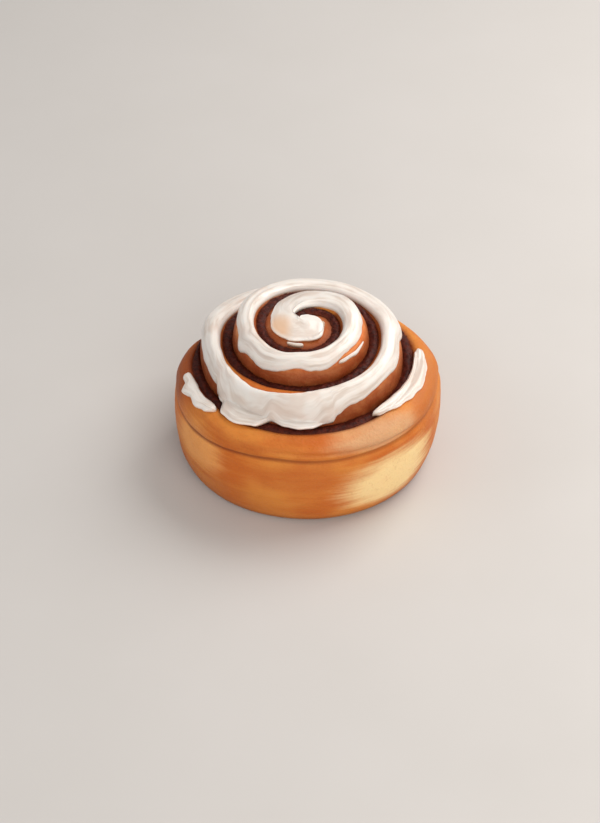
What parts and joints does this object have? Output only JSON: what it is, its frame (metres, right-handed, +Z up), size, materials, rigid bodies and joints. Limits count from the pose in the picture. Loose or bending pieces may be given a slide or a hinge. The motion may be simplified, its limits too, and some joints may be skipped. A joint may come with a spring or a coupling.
{
  "type": "cinnamon roll",
  "caption": "Round domed roll of spirally wound dough with a dark cinnamon filling line and lobed white icing on top.",
  "frame": {"origin": "on the floor, at the middle of the roll's bounding box", "axes": "+Z up out of the swirl, +Y away from the viewer, +X to the viewer's right"},
  "size_m": [0.1032, 0.0956, 0.0639],
  "materials": {
    "dough": "baked bread crust, matt to satin",
    "filling": "sticky cinnamon sugar paste",
    "icing": "set sugar icing, soft sheen"
  },
  "bodies": {
    "root": {"dough": "dough", "filling": "filling", "icing_swirl": "icing", "icing_dab_right": "icing", "icing_dab_left": "icing", "icing_fleck": "icing", "icing_streak": "icing"}
  },
  "joints": []
}
